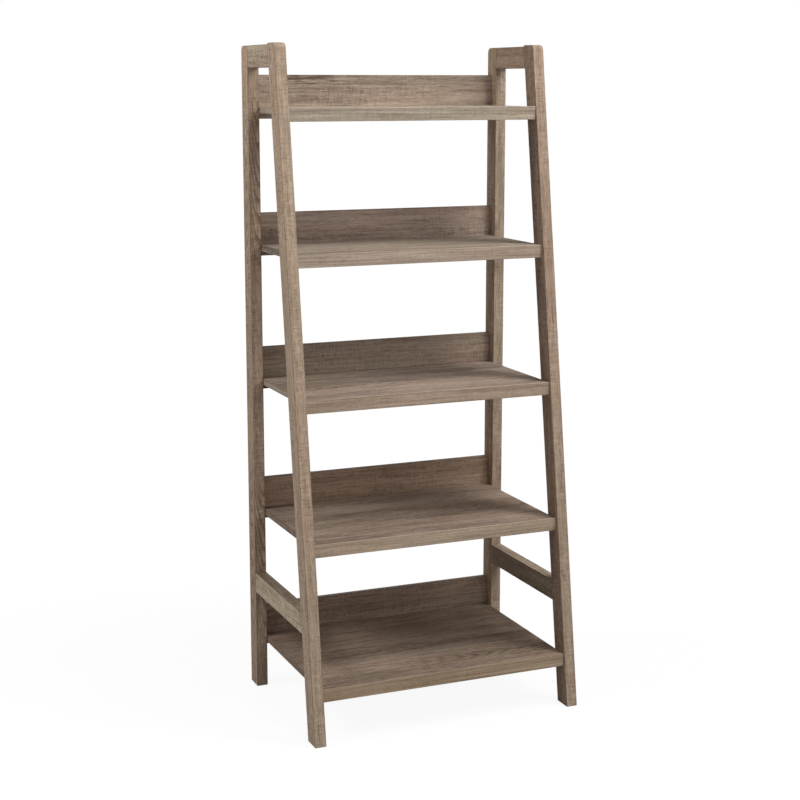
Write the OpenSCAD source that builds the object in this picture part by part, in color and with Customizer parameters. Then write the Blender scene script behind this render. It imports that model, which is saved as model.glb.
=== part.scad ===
// Ladder shelf: five shelves between two side frames with raked front legs.
// The origin is on the floor at the middle of the overall box. X runs along the
// shelves, -Y is the open front, +Z is up. Shelves are numbered from the top.

/* [Overall size] */
// Width over both side frames
total_w = 654.05; // [560:0.05:900]
// Depth at the floor, from the front feet to the rear feet
total_d = 457.2; // [420:0.1:520]
// Height of the front legs, the tallest pieces
total_h = 1527.3; // [1500:0.1:1600]
// Depth of a side frame at the top of the front leg
frame_top_d = 236; // [215:1:260]

/* [Side frames] */
// Thickness of every side frame piece, along X
frame_t = 26.925; // [24:0.025:32]
// Width of the front and rear legs, square to their length
leg_w = 46.5; // [44:0.5:56]
// Rounding of the front leg's top front corner
front_corner_r = 14; // [4:1:20]
// Rounding of the rear leg's top rear corner
rear_corner_r = 12; // [4:1:20]
// How far the front leg stands above the top rail and the rear leg
leg_above_rail = 3; // [0:0.5:6]
// Height of the top rail
top_rail_h = 50; // [44:1:60]
// Height of the side stretcher
stretcher_h = 48; // [44:1:60]
// Gap from the bottom shelf's top up to the side stretcher
stretcher_rise = 113.5; // [60:0.5:160]

/* [Shelves] */
// Thickness of the shelf boards
board_t = 15; // [15:0.5:18]
// Height of the front legs above the top shelf, with the lower ones evenly spaced
top_gap = 139.8; // [110:0.1:160]
// Clear height under the bottom shelf
floor_gap = 94.5; // [60:0.5:100]
// Depth of the batten under each shelf's front edge
batten_d = 15; // [12:0.5:17]
// Height of the batten under each shelf's front edge
batten_h = 15; // [12:0.5:18]
// Thickness of the edging on each shelf's front
edging_t = 1; // [0.5:0.1:1.5]
// Shelf 1: front face behind the leg's front face, at the shelf's top
setback_1 = 1.35; // [0:0.01:10]
// Shelf 2: front face behind the leg's front face, at the shelf's top
setback_2 = 5.93; // [0:0.01:10]
// Shelf 3: front face behind the leg's front face, at the shelf's top
setback_3 = 3.91; // [0:0.01:10]
// Shelf 4: front face behind the leg's front face, at the shelf's top
setback_4 = 8.49; // [0:0.01:10]
// Shelf 5: front face behind the leg's front face, at the shelf's top
setback_5 = 3.42; // [0:0.01:10]

/* [Back rails] */
// Thickness of the back rails
back_rail_t = 15; // [15:0.5:18]
// Height of the back rails
back_rail_h = 100; // [90:1:120]
// How far a back rail stands above its shelf
back_rail_rise = 72; // [65:1:80]
// Rear face of the back rails, in front of the rear legs' rear face
back_rail_inset = 8; // [4:0.5:12]

/* [Wooden dowels] */
// Diameter of every dowel
dowel_d = 8; // [6:0.5:8]
// Radial clearance of a dowel in its bore
dowel_fit = 0.05; // [0.02:0.01:0.1]
// Spare depth of a bore behind a dowel's end
dowel_end_gap = 1; // [0.5:0.1:2]
// Length of the dowels between legs and rails
frame_dowel_l = 40; // [30:1:44]
// Spacing of the two dowels in one leg joint
frame_dowel_space = 24; // [20:1:26]
// Length of the dowels in the shelves and back rails
shelf_dowel_l = 30; // [25:1:35]
// Part of an end dowel that goes into a leg
dowel_in_leg = 12; // [8:1:14]
// Part of a dowel that goes into a back rail's front face
dowel_in_rail = 10; // [8:1:11]
// Dowel behind the shelf's front face, in the shelf's ends
pin_back = 11; // [9:0.5:12]
// Dowel above the shelf's top, in the back rail's ends
pin_rise = 5; // [0:1:12]
// Spacing of the three dowels between a shelf and its back rail
rail_dowel_space = 220; // [120:5:230]

/* [Cam fixings] */
// Diameter of the cam lock
cam_d = 15; // [14:0.5:15]
// Height of the cam lock
cam_h = 12; // [11:0.5:12]
// Face of the cam lock below the surface that it is let into
cam_recess = 0.5; // [0.2:0.1:1]
// Radial clearance of the cam lock in its pocket
cam_fit = 0.1; // [0.05:0.05:0.2]
// Middle of the cam lock from the end of the panel
cam_inset = 24; // [22:0.5:30]
// Shelf bolt behind the shelf's front face
bolt_back = 26; // [25.5:0.5:28]
// Rail bolt above the shelf's top
bolt_rise = 45; // [35:1:52]
// Diameter of the bolt's threaded end
bolt_thread_d = 6; // [5:0.5:6]
// Length of the bolt's threaded end
bolt_thread_l = 11; // [8:0.5:13]
// Radial clearance of the threaded end in its bore
bolt_fit = 0.05; // [0.02:0.01:0.1]
// Diameter of the bolt's collar, which seats on the leg
bolt_collar_d = 7.6; // [7:0.1:7.8]
// Thickness of the bolt's collar
bolt_collar_t = 1.5; // [1:0.1:3]
// Diameter of the bolt's shank
bolt_shank_d = 6; // [5:0.5:6.5]
// Diameter of the bolt's neck, which the cam lock grips
bolt_neck_d = 4; // [3.5:0.1:4.5]
// Diameter of the bolt's head
bolt_head_d = 7; // [6.5:0.1:7.2]
// Length of the bolt's head
bolt_head_l = 3; // [2:0.5:4]
// Bore for the bolt in the panel's end
bolt_bore_d = 8; // [8:0.5:9]
// Clearance around the bolt's head and neck in the cam lock
grip_gap = 0.2; // [0.1:0.05:0.3]
// Width of the driver slots in the cam lock
driver_slot_w = 1.6; // [1:0.1:2]
// Depth of the driver slots in the cam lock
driver_slot_deep = 1.5; // [1:0.1:2]

/* [Hidden] */

SHELVES = [1, 2, 3, 4, 5];
BOTTOM = len(SHELVES);
LEFT = -1;
RIGHT = 1;
wood = "#94836f";
wood_dark = "#85745f";
dowel_wood = "#c9ab7c";
steel = "#b9bcc0";
zinc = "#9b9da1";
round_faces = 64;
small_faces = 32;
cut = 1; // how far a cutting shape runs past the face that it opens

// Width between the side frames, which is the length of every shelf
shelf_w = total_w - 2 * frame_t;
end_x = -shelf_w / 2;
outer_x = -total_w / 2;
frame_mid_x = end_x - frame_t / 2;

// Front legs lean back by the difference in depth between floor and top
rake = (total_d - frame_top_d) / total_h;
rake_angle = atan(rake);
leg_d = leg_w / cos(rake_angle);
y_back = total_d / 2;
y_rear_leg = y_back - leg_w;
top_of_rail = total_h - leg_above_rail;

rail_rear = y_back - back_rail_inset;
rail_front = rail_rear - back_rail_t;
setbacks = [setback_1, setback_2, setback_3, setback_4, setback_5];

top_shelf_z = total_h - top_gap;
bottom_shelf_z = floor_gap + batten_h + board_t;
shelf_step = (top_shelf_z - bottom_shelf_z) / (BOTTOM - 1);

bore_d = dowel_d + 2 * dowel_fit;
stretcher_z = shelf_top(BOTTOM) + stretcher_rise;

// Y of the front leg's front and rear faces at height z
function leg_front(z) = -total_d / 2 + rake * z;
function leg_rear(z) = leg_front(z) + leg_d;

// Heights and front face of shelf i
function shelf_top(i) = bottom_shelf_z + (BOTTOM - i) * shelf_step;
function underside(i) = shelf_top(i) - board_t;
function board_mid(i) = underside(i) + board_t / 2;
function shelf_front(i) = leg_front(shelf_top(i)) + setbacks[i - 1];

// Heights of the two dowels of a rail that starts at z and is h high
function dowel_heights(z, h) = [z + (h - frame_dowel_space) / 2, z + (h + frame_dowel_space) / 2];

// Draws its children for the left frame, or mirrored for the right one
module on_side(side) {
    if (side == RIGHT) {
        mirror([1, 0, 0]) children();
    } else {
        children();
    }
}

module both_sides() {
    on_side(LEFT) children();
    on_side(RIGHT) children();
}

// Extrudes a profile drawn in Y and Z through the left frame's thickness
module frame_piece() {
    translate([outer_x, 0, 0]) rotate([90, 0, 90]) linear_extrude(frame_t) children();
}

// Bar between the side frames, from its edges in Y and Z
module bar(y_front, y_rear, z_low, z_high) {
    translate([end_x, 0, 0]) rotate([90, 0, 90]) linear_extrude(shelf_w)
        polygon([[y_front, z_low], [y_rear, z_low], [y_rear, z_high], [y_front, z_high]]);
}

module rod_x(d, l) {
    rotate([0, 90, 0]) cylinder(d = d, h = l, $fn = small_faces);
}

module rod_y(d, l) {
    rotate([-90, 0, 0]) cylinder(d = d, h = l, $fn = small_faces);
}

// ---- Profiles of the side frame ----

// Raked leg, level at foot and top, with a round top front corner
module front_leg_profile() {
    r = front_corner_r;
    c = [leg_front(total_h - r) + r / cos(rake_angle), total_h - r];
    polygon([[leg_front(0), 0], [leg_rear(0), 0], [leg_rear(total_h), total_h],
        c + [0, r], c + r * [-cos(rake_angle), sin(rake_angle)]]);
    translate(c) circle(r, $fn = round_faces);
}

// Upright leg with a round top rear corner
module rear_leg_profile() {
    r = rear_corner_r;
    polygon([[y_rear_leg, 0], [y_back, 0], [y_back, top_of_rail - r],
        [y_back - r, top_of_rail], [y_rear_leg, top_of_rail]]);
    translate([y_back - r, top_of_rail - r]) circle(r, $fn = round_faces);
}

// Level rail between the legs, its front end cut to the rake
module rail_profile(z, h) {
    polygon([[leg_rear(z), z], [y_rear_leg, z], [y_rear_leg, z + h], [leg_rear(z + h), z + h]]);
}

// ---- Places of the fixings, for the left end of shelf i ----

module at_frame_dowels(z, h) {
    for (zd = dowel_heights(z, h)) {
        for (y = [leg_rear(zd), y_rear_leg]) {
            translate([frame_mid_x, y - frame_dowel_l / 2, zd]) children();
        }
    }
}

module at_shelf_end_dowel(i) {
    translate([end_x - dowel_in_leg, shelf_front(i) + pin_back, board_mid(i)]) children();
}

module at_rail_end_dowel(i) {
    translate([end_x - dowel_in_leg, (rail_front + rail_rear) / 2, shelf_top(i) + pin_rise]) children();
}

module at_board_dowels(i) {
    for (n = [-1, 0, 1]) {
        translate([n * rail_dowel_space, rail_front + dowel_in_rail - shelf_dowel_l, board_mid(i)])
            children();
    }
}

// The cam frame: origin on the panel's face at the cam's middle, Z into the panel
module at_shelf_cam(i) {
    translate([end_x + cam_inset, shelf_front(i) + bolt_back, underside(i)]) children();
}

module at_rail_cam(i) {
    translate([end_x + cam_inset, rail_rear, shelf_top(i) + bolt_rise])
        rotate([90, 0, 0]) children();
}

// ---- Cutting shapes ----

module frame_dowel_bores() {
    l = frame_dowel_l + 2 * dowel_end_gap;
    at_frame_dowels(top_of_rail - top_rail_h, top_rail_h)
        translate([0, -dowel_end_gap, 0]) rod_y(bore_d, l);
    at_frame_dowels(stretcher_z, stretcher_h)
        translate([0, -dowel_end_gap, 0]) rod_y(bore_d, l);
}

module end_dowel_bore() {
    translate([-dowel_end_gap, 0, 0]) rod_x(bore_d, shelf_dowel_l + 2 * dowel_end_gap);
}

module board_dowel_bores(i) {
    at_board_dowels(i)
        translate([0, -dowel_end_gap, 0]) rod_y(bore_d, shelf_dowel_l + 2 * dowel_end_gap);
}

// Bore in the leg for a bolt's threaded end, in the cam frame of a panel t thick
module thread_bore(t) {
    l = bolt_thread_l + dowel_end_gap;
    translate([-cam_inset - l, 0, t / 2]) rod_x(bolt_thread_d + 2 * bolt_fit, l + cut);
}

// Pocket for the cam lock and the bore that the bolt reaches it through
module cam_pocket(t) {
    translate([0, 0, -cut])
        cylinder(d = cam_d + 2 * cam_fit, h = cam_recess + cam_h + cut, $fn = round_faces);
    translate([-cam_inset - cut, 0, t / 2]) rod_x(bolt_bore_d, cam_inset + cut);
}

// ---- Pieces of the side frames ----

module front_leg(side) {
    color(wood) on_side(side) difference() {
        frame_piece() front_leg_profile();
        frame_dowel_bores();
        for (i = SHELVES) {
            at_shelf_end_dowel(i) end_dowel_bore();
            at_shelf_cam(i) thread_bore(board_t);
        }
    }
}

module rear_leg(side) {
    color(wood) on_side(side) difference() {
        frame_piece() rear_leg_profile();
        frame_dowel_bores();
        for (i = SHELVES) {
            at_rail_end_dowel(i) end_dowel_bore();
            at_rail_cam(i) thread_bore(back_rail_t);
        }
    }
}

module top_rail(side) {
    color(wood) on_side(side) difference() {
        frame_piece() rail_profile(top_of_rail - top_rail_h, top_rail_h);
        frame_dowel_bores();
    }
}

module stretcher(side) {
    color(wood) on_side(side) difference() {
        frame_piece() rail_profile(stretcher_z, stretcher_h);
        frame_dowel_bores();
    }
}

// ---- Pieces of shelf i ----

module shelf_board(i) {
    color(wood) difference() {
        bar(shelf_front(i) + edging_t, rail_front, underside(i), shelf_top(i));
        board_dowel_bores(i);
        both_sides() at_shelf_end_dowel(i) end_dowel_bore();
        both_sides() at_shelf_cam(i) cam_pocket(board_t);
    }
}

module shelf_batten(i) {
    y = shelf_front(i) + edging_t;
    color(wood_dark) bar(y, y + batten_d, underside(i) - batten_h, underside(i));
}

// Edging over the front of the board and its batten
module shelf_edging(i) {
    y = shelf_front(i);
    color(wood) bar(y, y + edging_t, underside(i) - batten_h, shelf_top(i));
}

module back_rail(i) {
    top = shelf_top(i) + back_rail_rise;
    color(wood_dark) difference() {
        bar(rail_front, rail_rear, top - back_rail_h, top);
        board_dowel_bores(i);
        both_sides() at_rail_end_dowel(i) end_dowel_bore();
        both_sides() at_rail_cam(i) cam_pocket(back_rail_t);
    }
}

// ---- Fixings ----

module frame_dowels() {
    color(dowel_wood) both_sides() {
        at_frame_dowels(top_of_rail - top_rail_h, top_rail_h) rod_y(dowel_d, frame_dowel_l);
        at_frame_dowels(stretcher_z, stretcher_h) rod_y(dowel_d, frame_dowel_l);
    }
}

module shelf_end_dowels() {
    color(dowel_wood) both_sides()
        for (i = SHELVES) at_shelf_end_dowel(i) rod_x(dowel_d, shelf_dowel_l);
}

module rail_end_dowels() {
    color(dowel_wood) both_sides()
        for (i = SHELVES) at_rail_end_dowel(i) rod_x(dowel_d, shelf_dowel_l);
}

module board_dowels() {
    color(dowel_wood)
        for (i = SHELVES) at_board_dowels(i) rod_y(dowel_d, shelf_dowel_l);
}

// Bolt along X in the cam frame: thread in the leg, collar on it, head in the cam
module cam_bolt(t) {
    seat = -cam_inset;
    rim = -cam_d / 2 - grip_gap;
    head = bolt_head_l / 2;
    translate([0, 0, t / 2]) rotate([0, 90, 0]) rotate_extrude($fn = small_faces)
        polygon([[0, seat - bolt_thread_l], [bolt_thread_d / 2, seat - bolt_thread_l],
            [bolt_thread_d / 2, seat], [bolt_collar_d / 2, seat],
            [bolt_collar_d / 2, seat + bolt_collar_t], [bolt_shank_d / 2, seat + bolt_collar_t],
            [bolt_shank_d / 2, rim], [bolt_neck_d / 2, rim], [bolt_neck_d / 2, -head],
            [bolt_head_d / 2, -head], [bolt_head_d / 2, head], [0, head]]);
}

// Round cam with a port for the bolt's head and a slot that turns onto its neck
module cam_lock(t) {
    port_d = bolt_head_d + 2 * grip_gap;
    slot_h = bolt_neck_d + 2 * grip_gap;
    difference() {
        translate([0, 0, cam_recess]) cylinder(d = cam_d, h = cam_h, $fn = round_faces);
        translate([0, 0, t / 2]) {
            translate([-bolt_head_l / 2 - grip_gap, 0, 0]) rod_x(port_d, port_d / 2 + bolt_head_l / 2);
            translate([0, -cam_d / 2 - cut, 0]) rod_y(port_d, cam_d / 2 + cut);
            translate([-cam_d / 2 - cut, 0, 0]) rod_x(slot_h, cam_d / 2 + cut);
            translate([0, 0, -slot_h / 2]) linear_extrude(slot_h) difference() {
                translate([-cam_d, -cam_d]) square(cam_d);
                circle(d = port_d, $fn = round_faces);
            }
        }
        for (a = [0, 90]) {
            rotate(a) translate([-port_d / 2, -driver_slot_w / 2, cam_recess - cut])
                cube([port_d, driver_slot_w, driver_slot_deep + cut]);
        }
    }
}

module cam_bolts() {
    color(steel) both_sides() for (i = SHELVES) {
        at_shelf_cam(i) cam_bolt(board_t);
        at_rail_cam(i) cam_bolt(back_rail_t);
    }
}

module cam_locks() {
    color(zinc) both_sides() for (i = SHELVES) {
        at_shelf_cam(i) cam_lock(board_t);
        at_rail_cam(i) cam_lock(back_rail_t);
    }
}

front_leg(LEFT);  // left_front_leg
rear_leg(LEFT);  // left_rear_leg
top_rail(LEFT);  // left_top_rail
stretcher(LEFT);  // left_stretcher
front_leg(RIGHT);  // right_front_leg
rear_leg(RIGHT);  // right_rear_leg
top_rail(RIGHT);  // right_top_rail
stretcher(RIGHT);  // right_stretcher
shelf_board(1);  // shelf_1_board
shelf_batten(1);  // shelf_1_batten
shelf_edging(1);  // shelf_1_edging
back_rail(1);  // shelf_1_back_rail
shelf_board(2);  // shelf_2_board
shelf_batten(2);  // shelf_2_batten
shelf_edging(2);  // shelf_2_edging
back_rail(2);  // shelf_2_back_rail
shelf_board(3);  // shelf_3_board
shelf_batten(3);  // shelf_3_batten
shelf_edging(3);  // shelf_3_edging
back_rail(3);  // shelf_3_back_rail
shelf_board(4);  // shelf_4_board
shelf_batten(4);  // shelf_4_batten
shelf_edging(4);  // shelf_4_edging
back_rail(4);  // shelf_4_back_rail
shelf_board(5);  // shelf_5_board
shelf_batten(5);  // shelf_5_batten
shelf_edging(5);  // shelf_5_edging
back_rail(5);  // shelf_5_back_rail
frame_dowels();
shelf_end_dowels();
rail_end_dowels();
board_dowels();
cam_bolts();
cam_locks();
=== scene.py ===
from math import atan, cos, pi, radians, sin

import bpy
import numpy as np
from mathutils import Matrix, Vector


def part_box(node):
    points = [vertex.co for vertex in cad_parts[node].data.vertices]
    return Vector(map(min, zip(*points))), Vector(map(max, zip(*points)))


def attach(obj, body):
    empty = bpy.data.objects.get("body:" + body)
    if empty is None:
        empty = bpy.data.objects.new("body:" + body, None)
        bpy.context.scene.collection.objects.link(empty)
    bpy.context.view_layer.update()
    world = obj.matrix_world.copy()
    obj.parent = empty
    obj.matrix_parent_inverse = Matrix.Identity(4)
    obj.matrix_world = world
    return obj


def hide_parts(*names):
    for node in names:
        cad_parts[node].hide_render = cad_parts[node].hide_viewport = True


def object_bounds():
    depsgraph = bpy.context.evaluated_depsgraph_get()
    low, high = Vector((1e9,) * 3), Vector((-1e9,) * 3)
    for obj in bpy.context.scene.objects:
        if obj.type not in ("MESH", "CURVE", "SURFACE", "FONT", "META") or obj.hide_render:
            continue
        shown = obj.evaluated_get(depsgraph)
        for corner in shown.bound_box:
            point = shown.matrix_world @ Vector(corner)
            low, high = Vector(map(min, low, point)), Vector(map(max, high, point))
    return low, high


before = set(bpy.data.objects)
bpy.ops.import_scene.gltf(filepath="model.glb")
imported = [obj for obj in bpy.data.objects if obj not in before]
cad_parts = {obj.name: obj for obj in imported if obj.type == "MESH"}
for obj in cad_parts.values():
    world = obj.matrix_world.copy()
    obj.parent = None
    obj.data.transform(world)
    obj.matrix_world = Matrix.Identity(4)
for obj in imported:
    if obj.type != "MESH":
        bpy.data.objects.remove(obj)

# Looks of the ladder shelf: eased wooden pieces over the CAD frame, in a grey-brown
# sawn-oak finish, with the dowels, cam bolts and cam locks of the CAD finished too.
# Lengths are in metres. X runs along the shelves, -Y is the open front, +Z is up.

cad_low, cad_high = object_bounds()

SIDES = ("left", "right")
SHELVES = (1, 2, 3, 4, 5)

# ---- Sizes that the frame's boxes don't give ----
FRAME_TOP_DEPTH = 0.236  # of a side frame, at its top
FRONT_CORNER = 0.014  # radius of a front leg's top corner
REAR_CORNER = 0.012  # radius of a rear leg's top corner

# Easing of the edges: how far it reaches at a piece's ends, and, as a share of that,
# the radius of its long corners
LEG_ARRIS = 0.0018
BOARD_ARRIS = 0.001
EDGING_ARRIS = 0.0004
EASED_CORNER = 1.2
BOARD_FRONT_CORNER = 0.1
EDGING_FRONT_CORNER = 2.0
EDGING_REAR_CORNER = 0.25
ROUND_CORNER = 4  # a long corner of this share or more is round, and gets no dark edge line
SHARP = 0.00002  # radius that is left on a corner that shrinks past its own
ARC_STEPS = 10
RIM_STEPS = 4

# Pockets of the cam locks
CAM_FROM_END = 0.024
CAM_BEHIND_FRONT = 0.026
CAM_OVER_SHELF = 0.045
POCKET_RADIUS = 0.0076
POCKET_DEPTH = 0.0125
POCKET_SIDES = 32


def box(cad_node):
    """Low and high corners of a CAD node, as arrays."""
    low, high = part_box(cad_node)
    return np.array(low), np.array(high)


# ---- Surfaces ----

def round_outline(corners, radii):
    """Outline of a convex polygon, given anticlockwise, with every corner rounded.

    Each point is its corner, less the radius times the corner's inward reach, plus the
    radius times the outward normal, which turns in equal steps from one side's normal
    to the next side's. Gives the corners, reaches, radii and normals, one row a point,
    and how far through its corner's turn each point is.
    """
    corners = np.array(corners, float)
    radii = np.array(radii, float)
    sides = np.roll(corners, -1, 0) - corners
    sides /= np.linalg.norm(sides, axis=1)[:, None]
    leaving = np.stack([sides[:, 1], -sides[:, 0]], 1)
    coming = np.roll(leaving, 1, 0)
    dot = (coming * leaving).sum(1)
    reach = (coming + leaving) / (1 + dot)[:, None]
    start = np.arctan2(coming[:, 1], coming[:, 0])
    turned = np.linspace(0, 1, ARC_STEPS + 1)
    angle = (start[:, None] + np.arccos(dot)[:, None] * turned).ravel()
    normals = np.stack([np.cos(angle), np.sin(angle)], 1)
    corner_at, reach_at, radii_at = (
        np.repeat(values, len(turned), 0) for values in (corners, reach, radii))
    return corner_at, reach_at, radii_at, normals, np.tile(turned, len(corners))


def sink_pocket(first, corners, centre, inward):
    """Round pocket in a flat four-cornered field.

    The rim is a circle, the wall is the rim carried straight in, and a disc closes
    it. Round the rim, each quarter of the circle fans out to its own corner.
    The corners go anticlockwise from the one at +X and left of inward.
    """
    quarter = POCKET_SIDES // 4
    angle = np.arange(POCKET_SIDES) * 2 * pi / POCKET_SIDES
    along = np.array([1.0, 0, 0])
    across = np.cross(-inward, along)
    rim = centre + POCKET_RADIUS * (np.cos(angle)[:, None] * along
                                    + np.sin(angle)[:, None] * across)
    points = np.concatenate([rim, rim + POCKET_DEPTH * inward])
    here = first + np.arange(POCKET_SIDES)
    after = np.roll(here, -1)
    near = np.array(corners)[np.arange(POCKET_SIDES) // quarter]
    fan = np.stack([here, near, after], 1)
    gaps = np.stack([np.roll(corners, 1), corners, here[::quarter]], 1)
    wall = np.stack([here, after, after + POCKET_SIDES, here + POCKET_SIDES], 1)
    return points, [fan, gaps], [wall, here[None] + POCKET_SIDES]


class Surface:
    """Points and polygons of a piece.

    Each point has its share of the dark line along the eased edges, and each polygon is
    smooth or flat and has the wood's finish or the raw core's.
    """

    def __init__(self, points, arris):
        self.points = points
        self.arris = arris
        self.polygons = []
        self.smooth = []
        self.core = []

    def add_points(self, points):
        self.points = np.concatenate([self.points, points])
        self.arris = np.concatenate([self.arris, np.zeros(len(points))])

    def add(self, polygons, smooth=False, core=False):
        rows = np.atleast_2d(polygons).tolist()
        self.polygons += rows
        self.smooth += list(np.broadcast_to(smooth, len(rows)))
        self.core += [core] * len(rows)


def eased_prism(corners, radii, low, high, ease, pocket_side=None, pocket_along=0):
    """Convex profile in Y and Z carried along X, with round corners and rims.

    Down the rim, X moves by ease x (1 - sin t) and the outline shrinks by
    ease x (1 - cos t), with t from a quarter turn at the end face to 0 at the wall.
    A corner that shrinks past its radius stays all but sharp.
    Pockets sink into one flat side, CAM_FROM_END from both ends and pocket_along
    from the side's first corner.
    """
    corner_at, reach, radii_at, normals, turned = round_outline(corners, radii)
    t = np.linspace(pi / 2, 0, RIM_STEPS + 1)
    inwards = ease * (1 - np.sin(t))
    x = np.concatenate([low + inwards, [(low + high) / 2], (high - inwards)[::-1]])
    inset = ease * (1 - np.cos(t))
    inset = np.concatenate([inset, [0], inset[::-1]])[:, None, None]
    radius = radii_at[:, None]
    flat = (corner_at - np.maximum(radius, inset + SHARP) * reach
            + np.maximum(radius - inset, SHARP) * normals)
    rows, columns = flat.shape[:2]
    points = np.concatenate([np.broadcast_to(x[:, None, None], (rows, columns, 1)), flat], 2)

    # The edge line is strongest in the middle of a rim and of an eased corner
    at_rim = np.concatenate([np.sin(2 * t), [0], np.sin(2 * t)[::-1]])
    at_corner = np.where(radii_at < ROUND_CORNER * ease, np.sin(pi * turned), 0)
    surface = Surface(points.reshape(-1, 3), np.maximum.outer(at_rim, at_corner).ravel())

    index = np.arange(rows * columns).reshape(rows, columns)
    after = np.roll(index, -1, 1)
    quads = np.stack([index[:-1], after[:-1], after[1:], index[1:]], 2)
    wall_rows = (RIM_STEPS, RIM_STEPS + 1)
    wall = np.isin(np.arange(rows - 1), wall_rows)
    side = np.arange(columns) % (ARC_STEPS + 1) == ARC_STEPS
    smooth = ~np.logical_and.outer(wall, side)
    keep = np.ones_like(smooth)
    if pocket_side is not None:
        last = pocket_side * (ARC_STEPS + 1) + ARC_STEPS
        keep[np.flatnonzero(wall), last] = False
        corner = np.array(corners[pocket_side])
        way = np.array(corners[pocket_side + 1]) - corner
        way /= np.linalg.norm(way)
        inward = np.array([0, -way[1], way[0]])
        for row, place in zip(wall_rows, (low + CAM_FROM_END, high - CAM_FROM_END)):
            field = quads[row, last][[3, 0, 1, 2]]
            centre = np.array([place, *(corner + way * pocket_along)])
            more, faces, hollow = sink_pocket(len(surface.points), field, centre, inward)
            surface.add_points(more)
            for polygons in faces:
                surface.add(polygons)
            for polygons in hollow:
                surface.add(polygons, core=True)
    surface.add(quads[keep], smooth[keep])
    surface.add(index[0, ::-1])
    surface.add(index[-1])
    return surface


# ---- Pieces ----

FACINGS = ("left", "right", "front", "rear", "under", "top")
EVEN = (1.0, 1.0, 1.0)

# Red, green and blue of a piece's tint, as shares of its finish's: partly the piece's own
# tone, partly painted light and shade, lighter on the top shelf's pieces and the left
# stretcher, darker on the bottom shelf's
PIECE_TONES_AND_PAINTED_LIGHT = {
    "left_front_leg": (1.04, 1.06, 1.10), "right_front_leg": (0.85, 0.84, 0.88),
    "left_rear_leg": (1.00, 1.00, 1.04), "right_rear_leg": (0.94, 0.96, 1.01),
    "left_top_rail": (1.04, 1.10, 1.18), "right_top_rail": (0.97, 0.94, 0.98),
    "left_stretcher": (1.36, 1.45, 1.50), "right_stretcher": (0.87, 0.88, 0.92),
    "shelf_1_edging": (0.91, 0.97, 1.04), "shelf_2_edging": (1.03, 1.05, 1.14),
    "shelf_3_edging": (0.95, 0.93, 0.97), "shelf_4_edging": (0.99, 1.00, 1.02),
    "shelf_5_edging": (0.85, 0.83, 0.78), "shelf_1_board": (1.27, 1.32, 1.32),
    "shelf_2_board": (0.96, 1.00, 1.01), "shelf_3_board": (1.02, 1.02, 1.04),
    "shelf_4_board": (0.95, 0.92, 0.91), "shelf_5_board": (0.85, 0.81, 0.78),
    "shelf_1_back_rail": (1.27, 1.36, 1.39), "shelf_2_back_rail": (0.99, 1.00, 1.04),
    "shelf_3_back_rail": (0.91, 0.92, 0.93), "shelf_4_back_rail": (0.99, 0.93, 0.88),
    "shelf_5_back_rail": (0.76, 0.74, 0.73),
}

# The same for single faces, as shares of their piece's: painted shade on the right frame's
# left faces and the left stretcher's top, painted light on a few lit faces
PAINTED_FACE_LIGHT = {
    ("left_rear_leg", "front"): (1.04, 1.04, 1.04),
    ("left_stretcher", "left"): (1.00, 1.05, 1.08),
    ("left_stretcher", "top"): (0.47, 0.44, 0.42),
    ("right_front_leg", "left"): (0.80, 0.76, 0.74),
    ("right_rear_leg", "left"): (0.88, 0.84, 0.79),
    ("right_top_rail", "left"): (0.84, 0.84, 0.84),
    ("right_stretcher", "left"): (0.75, 0.75, 0.75),
    ("right_stretcher", "top"): (1.05, 1.08, 1.10),
}

# How plainly a piece shows its arches, or below 0 the dark checks by its heart
FIGURES = {"left_rear_leg": 1.9, "shelf_3_board": 0.5, "shelf_5_board": 1.0,
           "shelf_1_back_rail": -1.0}
PLAIN_FIGURE = 0.4

# How bright the painted highlight along an edging's upper edge is
PAINTED_HIGHLIGHTS = {"shelf_1_edging": 1.0, "shelf_3_edging": 0.4, "shelf_4_edging": 0.5}
PLAIN_HIGHLIGHT = 0.2
UPPER_SIDE = 0.1  # a face whose normal rises more than this is on it

# Where the arches turn on the pieces that show them plainly
HEARTS = {
    "shelf_5_board": (0.17, -0.13, 0.12), "shelf_3_board": (-0.12, 0.02, 0.75),
    "left_rear_leg": (-0.302, 0.205, 1.22), "shelf_1_back_rail": (-0.19, 0.2056, 1.4555),
}


def read_faces(mesh):
    """Normals and corner counts of the faces, and the vertex of each corner."""
    normals = np.empty((len(mesh.polygons), 3))
    counts = np.empty(len(mesh.polygons), int)
    vertices = np.empty(len(mesh.loops), int)
    mesh.polygons.foreach_get("normal", normals.ravel())
    mesh.polygons.foreach_get("loop_total", counts)
    mesh.loops.foreach_get("vertex_index", vertices)
    return normals, counts, vertices


def main_axis(directions):
    """The axis that each direction runs along most, and whether it runs the positive way."""
    axis = np.abs(directions).argmax(1)
    return axis, np.take_along_axis(directions, axis[:, None], 1)[:, 0] > 0


def store(mesh, name, values):
    """Stores a vector at each face corner."""
    layer = mesh.attributes.new(name, "FLOAT_VECTOR", "CORNER")
    layer.data.foreach_set("vector", np.asarray(values, np.float32).ravel())


# By chance, each face's print has a number, starts one metre further on for every
# NUMBERS_A_METRE of it, and has its heart some way off the middle
seeds = np.random.default_rng(7)
PRINT_NUMBERS = 40
NUMBERS_A_METRE = 10
HEART_SHIFT = 0.03


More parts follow.
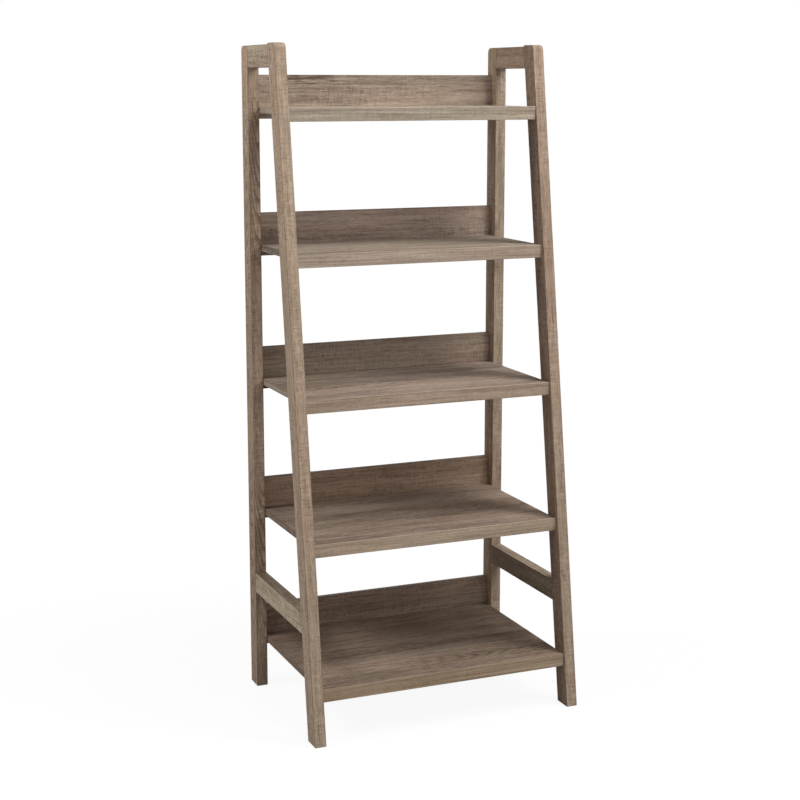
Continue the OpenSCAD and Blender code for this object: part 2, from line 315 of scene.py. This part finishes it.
def lay_grain(mesh, grain, across, heart):
    """Stores where the grain runs on each face: along it, across it, and its own print.

    Along is the point's distance along the grain, and across is its distance along
    the axis that lies in the face. An end face takes the two cross axes instead.
    Each face has its own heart, where its arches turn: heart gives it, or chance.
    """
    grain, across = np.array(grain, float), np.array(across, float)
    axes = np.stack([grain, across, np.cross(grain, across)])
    normals, counts, vertices = read_faces(mesh)
    place = np.empty((len(mesh.vertices), 3))
    mesh.vertices.foreach_get("co", place.ravel())
    kind, positive = main_axis(normals @ axes.T)
    kind, positive = np.repeat(kind, counts), np.repeat(positive, counts)
    at = place[vertices] @ axes.T
    first = np.where(kind == 0, at[:, 1], at[:, 0])
    second = np.where(kind == 2, at[:, 1], at[:, 2])
    own = seeds.uniform(0, PRINT_NUMBERS, 6)
    start, shift = -own / NUMBERS_A_METRE, seeds.uniform(-HEART_SHIFT, HEART_SHIFT, 6)
    if heart is not None:
        start[2:], shift[4:], shift[2:4] = axes @ np.array(heart)
    number = kind * 2 + positive
    store(mesh, "grain", np.stack([first - start[number], second - shift[number], own[number]], 1))


def lay_print(mesh, cad_node, surface):
    """Stores each corner's tint, and its edge lines: on the arris, and its piece's figure.

    The tint is the piece's own tone with painted light and shade, by piece and by face.
    Only the eased strips get a line: dark, or as a negative number a painted highlight,
    on an edging's upper side. The edge lines are a vector, and its third number stays 0.
    """
    normals, counts, vertices = read_faces(mesh)
    axis, positive = main_axis(normals)
    # The tint: the piece's tone and painted light, times its face's painted light and shade
    face_painted_light = np.array([PAINTED_FACE_LIGHT.get((cad_node, facing), EVEN) for facing in FACINGS])
    tint = face_painted_light[axis * 2 + positive] * np.array(PIECE_TONES_AND_PAINTED_LIGHT.get(cad_node, EVEN))
    edge_lines = np.where(surface.smooth, 1.0, 0.0)
    # On an edging's upper side the line is a painted highlight, kept as a negative number
    if cad_node.endswith("edging"):
        bright = PAINTED_HIGHLIGHTS.get(cad_node, PLAIN_HIGHLIGHT)
        edge_lines = np.where(normals[:, 2] > UPPER_SIDE, -bright * edge_lines, edge_lines)
    arris = surface.arris[vertices] * np.repeat(edge_lines, counts)
    figure = np.full_like(arris, FIGURES.get(cad_node, PLAIN_FIGURE))
    store(mesh, "tint", np.repeat(tint, counts, 0))
    store(mesh, "edge_lines", np.stack([arris, figure, np.zeros_like(arris)], 1))


def make_piece(cad_node, surface, finish, grain, across):
    """Wooden piece in place of a CAD node, with its pockets in raw board."""
    name = f"{cad_node}_wood"
    mesh = bpy.data.meshes.new(name)
    mesh.from_pydata(surface.points.tolist(), [], surface.polygons)
    mesh.polygons.foreach_set("use_smooth", np.array(surface.smooth, bool))
    mesh.materials.append(finish)
    mesh.materials.append(raw_board)
    mesh.polygons.foreach_set("material_index", np.array(surface.core, np.int32))
    mesh.update()
    lay_print(mesh, cad_node, surface)
    lay_grain(mesh, grain, across, HEARTS.get(cad_node))
    piece = bpy.data.objects.new(name, mesh)
    bpy.context.scene.collection.objects.link(piece)
    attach(piece, "root")
    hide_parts(cad_node)


# ---- Finishes ----

def node(tree, kind, inputs=(), **settings):
    """Adds a shader node, sets its properties, then links or fills its inputs."""
    made = tree.nodes.new(kind)
    for key, value in settings.items():
        setattr(made, key, value)
    for key, value in dict(inputs).items():
        socket = made.inputs[key]
        if isinstance(value, bpy.types.NodeSocket):
            tree.links.new(value, socket)
        else:
            socket.default_value = value
    return made


def maths(tree, operation, first, second=0.0, third=0.0, clamp=False):
    """Result of a sum of up to three numbers or sockets, kept from 0 to 1 by clamp."""
    made = node(tree, "ShaderNodeMath", {0: first, 1: second, 2: third},
                operation=operation, use_clamp=clamp)
    return made.outputs[0]


def blend(tree, share, first, second, mode="MIX"):
    """Colour that goes from the first to the second with the share."""
    colours = {key: value if isinstance(value, bpy.types.NodeSocket) else (*value, 1)
               for key, value in ((6, first), (7, second))}
    made = node(tree, "ShaderNodeMix", {"Factor": share, **colours},
                data_type="RGBA", blend_type=mode)
    return made.outputs[2]


def linear(colour):
    """Screen colour, 0 to 255, as the linear light that the shader takes."""
    share = np.array(colour) / 255
    return tuple(np.where(share <= 0.04045, share / 12.92, ((share + 0.055) / 1.055) ** 2.4))


def ramp(tree, value, low, high):
    """Value from 0 at low to 1 at high, with a soft start and end."""
    made = node(tree, "ShaderNodeMapRange", {"Value": value, "From Min": low, "From Max": high},
                interpolation_type="SMOOTHSTEP")
    return made.outputs["Result"]


def principled(name):
    """New material, with its node tree and its shader."""
    material = bpy.data.materials.new(name)
    material.use_nodes = True
    return material, material.node_tree, material.node_tree.nodes["Principled BSDF"]


def lay_bump(tree, shader, height, depth, strength=1.0):
    """Bump whose height of 1 is so many metres."""
    bump = node(tree, "ShaderNodeBump", {"Height": height, "Strength": strength, "Distance": depth})
    tree.links.new(bump.outputs[0], shader.inputs["Normal"])


# Waves a metre along the grain and across it, detail and roughness of each noise
NOISES = {
    "sway": (3.5, 14, 1.0, 0.5), "broad": (1.3, 16, 2.0, 0.5),
    "long_lines": (3.5, 190, 2.0, 0.6), "streaks": (9, 120, 3.0, 0.6),
    "dashes": (42, 400, 2.0, 0.6), "fibres": (170, 1500, 1.0, 0.5),
    "bend": (6, 40, 3.0, 0.5), "saw_wave": (24, 60, 1.0, 0.5),
    "saw_marks": (230, 45, 2.0, 0.6), "saw_patches": (6, 16, 1.0, 0.5),
    "checks": (16, 240, 3.0, 0.7), "check_patches": (2.6, 22, 1.0, 0.5),
    "pores": (60, 900, 1.0, 0.5), "hues": (1.5, 24, 1.0, 0.5),
}

# Where each soft step starts and ends: on noises and rings from 0 to 1, and in metres
# from the heart, along the grain (ends) and across it (sides)
STEPS = {
    "ring_starts": (0.0, 0.1), "ring_fades": (0.1, 0.6), "ring_dashes": (0.3, 0.6),
    "arch_ends": (0.10, 0.26), "arch_sides": (0.02, 0.055), "saw_patches": (0.32, 0.58),
    "heart_ends": (0.07, 0.11), "heart_sides": (0.008, 0.03), "checks": (0.62, 0.70),
    "check_patches": (0.56, 0.66), "pores": (0.60, 0.72), "hues": (0.42, 0.66),
}

SWAY = 0.008  # metres that the grain sways across
SAW_WAVE = 0.006  # metres that a saw mark waves along the grain
ARCH_REPEAT = 0.9  # metres along the grain from one heart to the next
ARCH_BEND = 1.8  # rings that slow noise bends the arches by
EXTRA_CHECKS = 0.18  # how much readier the wood by a heart is to check

# How far the fibres move the tone both ways, and how far each mark darkens it
FIBRES = 0.8
ARCH_DARK = 0.6
CHECK_DARK = 0.3
PORE_DARK = 0.35

# Colours that are laid over the tone, and how strongly
BLUSH, BLUSH_SHARE = (255, 240, 236), 0.35
LINE, LINE_ON_ARRIS, LINE_ON_CHECKS = (62, 50, 41), 0.4, 0.6
# Painted highlight laid on an edging's upper edge
HIGHLIGHT_COLOUR, HIGHLIGHT_ON_ARRIS = (224, 208, 190), 0.8

# The dark wood is the rougher, and the marks stand up or sink in by shares of the bump
OAK_SPECULAR = 0.04
DARK_ROUGH, LIGHT_SMOOTHER = 0.80, 0.12
DASH_HEIGHT, MARK_HEIGHT, PORE_DEPTH = 0.6, 1.2, 0.8
BUMP_DEPTH, BUMP_STRENGTH = 0.0003, 0.4


class Grain:
    """Shader nodes that print along and across the grain of a piece.

    They start from the point's place along and across the grain and the print's
    number. The across place sways, and the distances from the heart follow from both.
    """

    def __init__(self, tree):
        self.tree = tree
        place = node(tree, "ShaderNodeAttribute", attribute_name="grain").outputs["Vector"]
        parts = node(tree, "ShaderNodeSeparateXYZ", {0: place}).outputs
        self.along, self.across, self.number = parts
        self.across = self.shift(self.across, self.noise("sway"), SWAY)
        self.from_heart = self.maths("PINGPONG", self.along, ARCH_REPEAT / 2)
        self.off_heart = self.maths("ABSOLUTE", self.across)

    def maths(self, *values, clamp=False):
        return maths(self.tree, *values, clamp=clamp)

    def times(self, first, *others):
        """Product of all the values."""
        for other in others:
            first = self.maths("MULTIPLY", first, other)
        return first

    def shift(self, value, noise, strength):
        """Value that a noise moves evenly up and down."""
        return self.maths("MULTIPLY_ADD", self.maths("SUBTRACT", noise, 0.5), strength, value)

    def noise(self, name, along=None):
        """Noise that is stretched along the grain, by its row in NOISES."""
        waves_along, waves_across, detail, roughness = NOISES[name]
        u = self.times(self.along if along is None else along, waves_along)
        v = self.times(self.across, waves_across)
        place = node(self.tree, "ShaderNodeCombineXYZ", {0: u, 1: v, 2: self.number})
        made = node(self.tree, "ShaderNodeTexNoise",
                    {"Vector": place.outputs[0], "Scale": 1.0, "Detail": detail,
                     "Roughness": roughness})
        return made.outputs["Fac"]

    def above(self, value, name):
        """0 below the soft step of this name and 1 above it."""
        return ramp(self.tree, value, *STEPS[name])

    def below(self, value, name):
        """1 below the soft step of this name and 0 above it."""
        return self.maths("SUBTRACT", 1.0, self.above(value, name))

    def arches(self, dashes, spread, rise):
        """Nested arches: dashed lines, dark at one side, round the hearts.

        They are the lines where spread x across squared + rise x along is the same,
        bent by slow noise, once every ARCH_REPEAT along the grain.
        """
        arch = self.times(self.across, self.across, spread)
        arch = self.maths("MULTIPLY_ADD", self.along, rise, arch)
        arch = self.maths("MULTIPLY_ADD", self.noise("bend"), ARCH_BEND, arch)
        ring = self.maths("FRACT", arch)
        return self.times(self.below(ring, "ring_fades"), self.above(ring, "ring_starts"),
                          self.above(dashes, "ring_dashes"),
                          self.times(self.below(self.from_heart, "arch_ends"),
                                     self.below(self.off_heart, "arch_sides")))

    def saw_marks(self):
        """Wavy marks across the grain, in patches, evenly up and down from 0."""
        wavy = self.maths("MULTIPLY_ADD", self.noise("saw_wave"), SAW_WAVE, self.along)
        marks = self.noise("saw_marks", along=wavy)
        patches = self.above(self.noise("saw_patches"), "saw_patches")
        return self.times(self.maths("SUBTRACT", marks, 0.5), patches)

    def checks(self, by_heart):
        """Short cracks, in patches and, as by_heart says, by the hearts."""
        by_heart = self.times(self.below(self.off_heart, "heart_sides"),
                              self.below(self.from_heart, "heart_ends"), by_heart)
        ready = self.maths("MULTIPLY_ADD", by_heart, EXTRA_CHECKS, self.noise("checks"))
        patches = self.above(self.noise("check_patches"), "check_patches")
        return self.times(self.above(ready, "checks"),
                          self.maths("MAXIMUM", patches, by_heart))


def sawn_oak(name, light, dark, bands, lines, flecks, spread, rise, saw):
    """Grey-brown oak print: bands, streaks, nested arches, pores and cross saw marks.

    The tone runs from 0, dark, to 1, light. Bands, lines, flecks and saw say how far
    those marks move it, and spread and rise shape the arches.
    """
    material, tree, shader = principled(name)
    grain = Grain(tree)
    edge_lines = node(tree, "ShaderNodeAttribute", attribute_name="edge_lines").outputs["Vector"]
    arris, figure, _ = node(tree, "ShaderNodeSeparateXYZ", {0: edge_lines}).outputs
    tint = node(tree, "ShaderNodeAttribute", attribute_name="tint").outputs["Vector"]

    dashes = grain.noise("dashes")
    tone = 0.5
    for noise, strength in ((grain.noise("broad"), bands), (grain.noise("long_lines"), lines),
                            (grain.noise("streaks"), flecks), (dashes, flecks),
                            (grain.noise("fibres"), FIBRES)):
        tone = grain.shift(tone, noise, strength)

    arches = grain.times(grain.arches(dashes, spread, rise), grain.maths("MAXIMUM", figure, 0.0))
    tone = grain.maths("MULTIPLY_ADD", arches, -ARCH_DARK, tone)
    marks = grain.saw_marks()
    tone = grain.maths("MULTIPLY_ADD", marks, saw, tone)
    checks = grain.checks(grain.maths("MULTIPLY", figure, -1.0, clamp=True))
    tone = grain.maths("MULTIPLY_ADD", checks, -CHECK_DARK, tone)
    pores = grain.above(grain.noise("pores"), "pores")
    tone = grain.maths("MULTIPLY_ADD", pores, -PORE_DARK, tone, clamp=True)

    colour = blend(tree, tone, linear(dark), linear(light))
    blush = grain.times(grain.above(grain.noise("hues"), "hues"), BLUSH_SHARE)
    colour = blend(tree, blush, colour, linear(BLUSH), "MULTIPLY")
    dark_line = grain.maths("MAXIMUM", grain.times(arris, LINE_ON_ARRIS),
                            grain.times(checks, LINE_ON_CHECKS), clamp=True)
    colour = blend(tree, dark_line, colour, linear(LINE))
    # Painted highlight: a light line on an edging's upper edge
    painted_highlight = grain.maths("MULTIPLY", arris, -HIGHLIGHT_ON_ARRIS, clamp=True)
    colour = blend(tree, painted_highlight, colour, linear(HIGHLIGHT_COLOUR))
    # The tint lays on each piece's own tone together with painted light and shade, by piece and by
    # face
    colour = blend(tree, 1.0, colour, tint, "MULTIPLY")
    tree.links.new(colour, shader.inputs["Base Color"])

    shader.inputs["Specular IOR Level"].default_value = OAK_SPECULAR
    rough = grain.maths("MULTIPLY_ADD", tone, -LIGHT_SMOOTHER, DARK_ROUGH)
    tree.links.new(rough, shader.inputs["Roughness"])
    height = grain.maths("MULTIPLY_ADD", dashes, DASH_HEIGHT, grain.times(marks, MARK_HEIGHT))
    height = grain.maths("MULTIPLY_ADD", pores, -PORE_DEPTH, height)
    lay_bump(tree, shader, height, BUMP_DEPTH, BUMP_STRENGTH)
    return material


def particle_core(name):
    """Raw board inside the pockets: coarse tan and brown chips on Object coordinates."""
    material, tree, shader = principled(name)
    place = node(tree, "ShaderNodeTexCoord").outputs["Object"]
    chips = node(tree, "ShaderNodeTexVoronoi", {"Vector": place, "Scale": 700.0})
    tint = node(tree, "ShaderNodeTexNoise", {"Vector": place, "Scale": 240.0, "Detail": 3.0})
    colour = blend(tree, chips.outputs["Distance"], linear((176, 146, 108)), linear((104, 78, 52)))
    colour = blend(tree, tint.outputs["Fac"], colour, linear((150, 122, 88)))
    tree.links.new(colour, shader.inputs["Base Color"])
    shader.inputs["Roughness"].default_value = 0.9
    lay_bump(tree, shader, chips.outputs["Distance"], 0.0004)
    return material


def fluted_beech(name):
    """Plain dowel beech: short flecks on Object coordinates."""
    material, tree, shader = principled(name)
    place = node(tree, "ShaderNodeTexCoord").outputs["Object"]
    flecks = node(tree, "ShaderNodeTexNoise", {"Vector": place, "Scale": 420.0, "Detail": 3.0})
    colour = blend(tree, flecks.outputs["Fac"], linear((206, 174, 128)), linear((178, 142, 98)))
    tree.links.new(colour, shader.inputs["Base Color"])
    shader.inputs["Roughness"].default_value = 0.7
    lay_bump(tree, shader, flecks.outputs["Fac"], 0.0002)
    return material


def zinc(name, bright, dull, roughness):
    """Zinc surface: cloudy tone and a fine cast or plated grain."""
    material, tree, shader = principled(name)
    place = node(tree, "ShaderNodeTexCoord").outputs["Object"]
    cloud = node(tree, "ShaderNodeTexNoise", {"Vector": place, "Scale": 300.0, "Detail": 4.0})
    speck = node(tree, "ShaderNodeTexNoise", {"Vector": place, "Scale": 2500.0, "Detail": 2.0})
    colour = blend(tree, cloud.outputs["Fac"], linear(dull), linear(bright))
    tree.links.new(colour, shader.inputs["Base Color"])
    shader.inputs["Metallic"].default_value = 1.0
    rough = maths(tree, "MULTIPLY_ADD", speck.outputs["Fac"], 0.15, roughness)
    tree.links.new(rough, shader.inputs["Roughness"])
    lay_bump(tree, shader, speck.outputs["Fac"], 0.00005)
    return material


frame_oak = sawn_oak("frame_oak", (187, 167, 144), (126, 106, 87), bands=0.7, lines=0.4,
                     flecks=1.2, spread=4600.0, rise=-22.0, saw=1.3)
shelf_oak = sawn_oak("shelf_oak", (171, 155, 139), (106, 91, 79), bands=1.5, lines=0.5,
                     flecks=1.3, spread=1500.0, rise=26.0, saw=0.5)
edging_oak = sawn_oak("edging_oak", (186, 168, 147), (130, 112, 93), bands=0.4, lines=1.7,
                      flecks=0.5, spread=1500.0, rise=26.0, saw=0.5)
rail_oak = sawn_oak("rail_oak", (165, 147, 131), (104, 88, 76), bands=1.1, lines=0.9,
                    flecks=1.0, spread=1500.0, rise=26.0, saw=0.85)
raw_board = particle_core("particle_core")

# ---- Side frames ----

UP, ALONG_X, ALONG_Y = (0, 0, 1), (1, 0, 0), (0, 1, 0)
rake = (cad_high[1] - cad_low[1] - FRAME_TOP_DEPTH) / (cad_high[2] - cad_low[2])
lean = atan(rake)
up_leg = np.array([0, sin(lean), cos(lean)])
rear_leg_low, rear_leg_high = box("left_rear_leg")
leg_depth = (rear_leg_high[1] - rear_leg_low[1]) / cos(lean)


def leg_front(z):
    """Y of a front leg's front side at a height: it rises back at the rake."""
    return cad_low[1] + rake * z


def leg_rear(z):
    return leg_front(z) + leg_depth


def frame_outline(part, low, high):
    """Corners of a side frame part in Y and Z, anticlockwise, and their radii.

    A front leg lies between its raked sides, and the rails' cut ends lie on the rear one.
    """
    z, top = low[2], high[2]
    ease = EASED_CORNER * LEG_ARRIS
    if part == "front_leg":
        corners = [(leg_front(z), z), (leg_rear(z), z), (leg_rear(top), top), (leg_front(top), top)]
        return corners, [ease, ease, ease, FRONT_CORNER]
    if part == "rear_leg":
        corners = [(low[1], z), (high[1], z), (high[1], top), (low[1], top)]
        return corners, [ease, ease, REAR_CORNER, ease]
    corners = [(leg_rear(z), z), (high[1], z), (high[1], top), (leg_rear(top), top)]
    return corners, [ease] * 4


FRAME_GRAIN = {"front_leg": up_leg, "rear_leg": UP, "top_rail": ALONG_Y, "stretcher": ALONG_Y}
for side in SIDES:
    for part, grain in FRAME_GRAIN.items():
        name = f"{side}_{part}"
        low, high = box(name)
        corners, radii = frame_outline(part, low, high)
        surface = eased_prism(corners, radii, low[0], high[0], LEG_ARRIS)
        make_piece(name, surface, frame_oak, grain, ALONG_X)


# ---- Shelves ----

def bar(low, high, ease, front=EASED_CORNER, rear=EASED_CORNER, **pocket):
    """Bar along X, with its front and rear corners rounded by so many times its ease."""
    corners = [(low[1], low[2]), (high[1], low[2]), (high[1], high[2]), (low[1], high[2])]
    radii = [ease * front, ease * rear, ease * rear, ease * front]
    return eased_prism(corners, radii, low[0], high[0], ease, **pocket)


UNDERSIDE, REAR_FACE = 0, 1
for shelf in SHELVES:
    name = f"shelf_{shelf}"
    edging_low, edging_high = box(f"{name}_edging")
    low, high = box(f"{name}_board")
    shelf_top = high[2]
    surface = bar(low, high, BOARD_ARRIS, front=BOARD_FRONT_CORNER, pocket_side=UNDERSIDE,
                  pocket_along=edging_low[1] + CAM_BEHIND_FRONT - low[1])
    make_piece(f"{name}_board", surface, shelf_oak, ALONG_X, ALONG_Y)
    low, high = box(f"{name}_back_rail")
    surface = bar(low, high, BOARD_ARRIS, pocket_side=REAR_FACE,
                  pocket_along=shelf_top + CAM_OVER_SHELF - low[2])
    make_piece(f"{name}_back_rail", surface, rail_oak, ALONG_X, UP)
    low, high = box(f"{name}_batten")
    make_piece(f"{name}_batten", bar(low, high, BOARD_ARRIS), shelf_oak, ALONG_X, UP)
    surface = bar(edging_low, edging_high, EDGING_ARRIS, front=EDGING_FRONT_CORNER,
                  rear=EDGING_REAR_CORNER)
    make_piece(f"{name}_edging", surface, edging_oak, ALONG_X, UP)

# ---- Fixings ----

beech = fluted_beech("dowel_beech")
FIXINGS = {
    "frame_dowels": beech, "shelf_end_dowels": beech,
    "rail_end_dowels": beech, "board_dowels": beech,
    "cam_bolts": zinc("bolt_zinc_plate", (222, 224, 228), (186, 190, 197), 0.22),
    "cam_locks": zinc("cast_zinc", (190, 191, 193), (150, 151, 154), 0.42),
}
for name, finish in FIXINGS.items():
    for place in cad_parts[name].material_slots:
        place.material = finish

# ---- Room, lamps and camera ----

ROOM_LIGHT = 0.15
FLOOR_SIZE = 60
FLOOR_LIT = (0.5, 0.5, 0.5)  # the floor's own colour, for the light that it sends back
FLOOR_SEEN = (0.9, 0.9, 0.9)
PAPER_WHITE = 1.02
SHADOW_SHARE = 0.1  # how strongly the floor by the middle keeps a shadow
SHADOW_ENDS = (0.5, 2.2)  # metres from the middle, between which that fades out
AIM = (0, 0, 0.8)
SEEN_RAYS = ("Is Camera Ray", "Is Glossy Ray", "Is Transmission Ray")


def seen_rays(tree):
    """1 for the rays that see the white backdrop, 0 for the rays that carry its light."""
    path = node(tree, "ShaderNodeLightPath").outputs
    seen = path[SEEN_RAYS[0]]
    for ray in SEEN_RAYS[1:]:
        seen = maths(tree, "MAXIMUM", seen, path[ray])
    return seen


def floor():
    """Pale floor, seen white, with the object's soft shadow kept near it.

    The white share rises from the middle outwards, so that the floor has no far edge.
    """
    bpy.ops.mesh.primitive_plane_add(size=FLOOR_SIZE)
    ground = bpy.context.object
    ground.name = "floor"
    material, tree, shader = principled("pale_floor")
    seen = seen_rays(tree)
    tree.links.new(blend(tree, seen, FLOOR_LIT, FLOOR_SEEN), shader.inputs["Base Color"])
    shader.inputs["Roughness"].default_value = 0.9
    shader.inputs["Specular IOR Level"].default_value = 0.1
    place = node(tree, "ShaderNodeTexCoord").outputs["Object"]
    distance = node(tree, "ShaderNodeVectorMath", {0: place}, operation="LENGTH").outputs["Value"]
    away = ramp(tree, distance, *SHADOW_ENDS)
    white = maths(tree, "MULTIPLY_ADD", away, SHADOW_SHARE, 1 - SHADOW_SHARE)
    white = maths(tree, "MULTIPLY", seen, white)
    paper = node(tree, "ShaderNodeEmission", {"Color": (1, 1, 1, 1), "Strength": PAPER_WHITE})
    mixed = node(tree, "ShaderNodeMixShader", {0: white, 1: shader.outputs[0], 2: paper.outputs[0]})
    tree.links.new(mixed.outputs[0], tree.nodes["Material Output"].inputs["Surface"])
    ground.data.materials.append(material)


def room():
    """Even pale room light, white where it is seen."""
    world = bpy.data.worlds.new("room")
    bpy.context.scene.world = world
    world.use_nodes = True
    tree = world.node_tree
    strength = maths(tree, "MULTIPLY_ADD", seen_rays(tree), 1 - ROOM_LIGHT, ROOM_LIGHT)
    background = tree.nodes["Background"]
    background.inputs["Color"].default_value = (1, 1, 1, 1)
    tree.links.new(strength, background.inputs["Strength"])


def lamp(name, place, power, size):
    """Round soft lamp that faces AIM, with its power in watts and its width in metres."""
    light = bpy.data.lights.new(name, "AREA")
    light.energy = power
    light.shape = "DISK"
    light.size = size
    made = bpy.data.objects.new(name, light)
    bpy.context.scene.collection.objects.link(made)
    made.location = place
    made.rotation_euler = (Vector(AIM) - Vector(place)).to_track_quat("-Z", "Y").to_euler()


floor()
room()
lamp("high_left", (-2.0, 0.2, 2.4), 31, 1.2)
lamp("high_right_front", (1.5, -1.4, 2.5), 28, 1.2)
lamp("overhead", (0.8, -0.7, 2.9), 29, 0.8)
lamp("front", (0, -3.0, 1.2), 27, 1.6)
lamp("low_left", (-2.6, -0.6, 0.7), 5, 1.5)
lamp("low_behind", (0.4, 2.8, 0.8), 34, 1.6)

CAMERA_DOWN, CAMERA_RIGHT = 10.16, 22.86  # degrees below level, and right of straight ahead
camera_data = bpy.data.cameras.new("camera")
camera_data.lens = 73.5
camera_data.sensor_width = 36
camera_data.shift_y = -0.03
camera = bpy.data.objects.new("camera", camera_data)
camera.location = (-1.472, -3.424, 1.44)
camera.rotation_euler = (radians(90 - CAMERA_DOWN), 0, radians(-CAMERA_RIGHT))
bpy.context.scene.collection.objects.link(camera)
bpy.context.scene.camera = camera
bpy.context.scene.view_settings.view_transform = "Standard"
